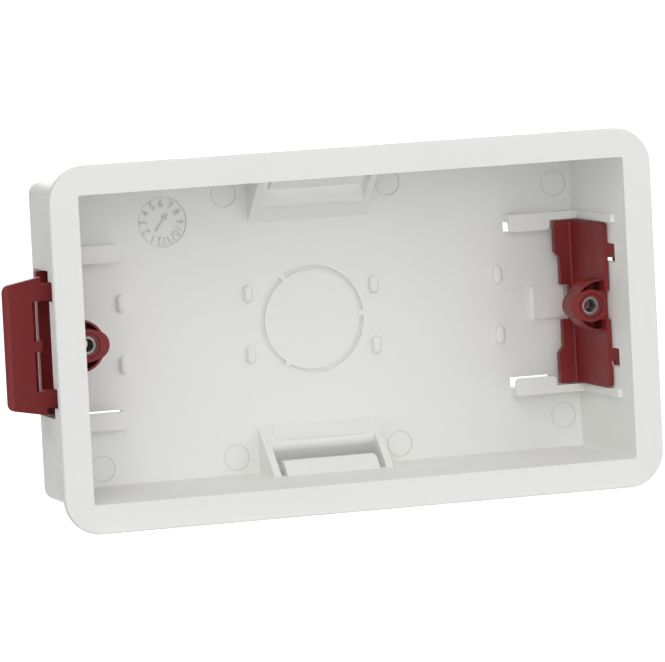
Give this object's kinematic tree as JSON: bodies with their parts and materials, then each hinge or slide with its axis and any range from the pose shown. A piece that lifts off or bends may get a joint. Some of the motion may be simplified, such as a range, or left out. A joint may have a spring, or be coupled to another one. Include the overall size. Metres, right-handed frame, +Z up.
{
  "type": "drywall back box",
  "caption": "White rectangular back box for plasterboard walls, with a thin flange, cable entries, a round knock-out and dark red clamp lugs that slide to grip the board.",
  "frame": {"origin": "centre of the box in the plane of the plasterboard's face, which is the rear face of the flange", "axes": "+X along the box to the right, +Y into the wall, +Z up; the open side faces -Y"},
  "size_m": [0.155, 0.035, 0.0822],
  "materials": {
    "white_plastic": "fine satin moulded, white",
    "red_plastic": "satin moulded, dark red",
    "insert_metal": "plated, machined"
  },
  "bodies": {
    "back_box": {"back_box": "white_plastic"},
    "left_lug": {"left_lug": "red_plastic", "left_thread_insert": "insert_metal"},
    "right_lug": {"right_lug": "red_plastic", "right_thread_insert": "insert_metal"}
  },
  "joints": [
    {"name": "left_lug_slide", "type": "slide", "parent": "back_box", "child": "left_lug", "axis": [0, -1, 0], "range_m": [-0.0025, 0.0068]},
    {"name": "right_lug_slide", "type": "slide", "parent": "back_box", "child": "right_lug", "axis": [0, -1, 0], "range_m": [-0.0025, 0.0068]}
  ]
}
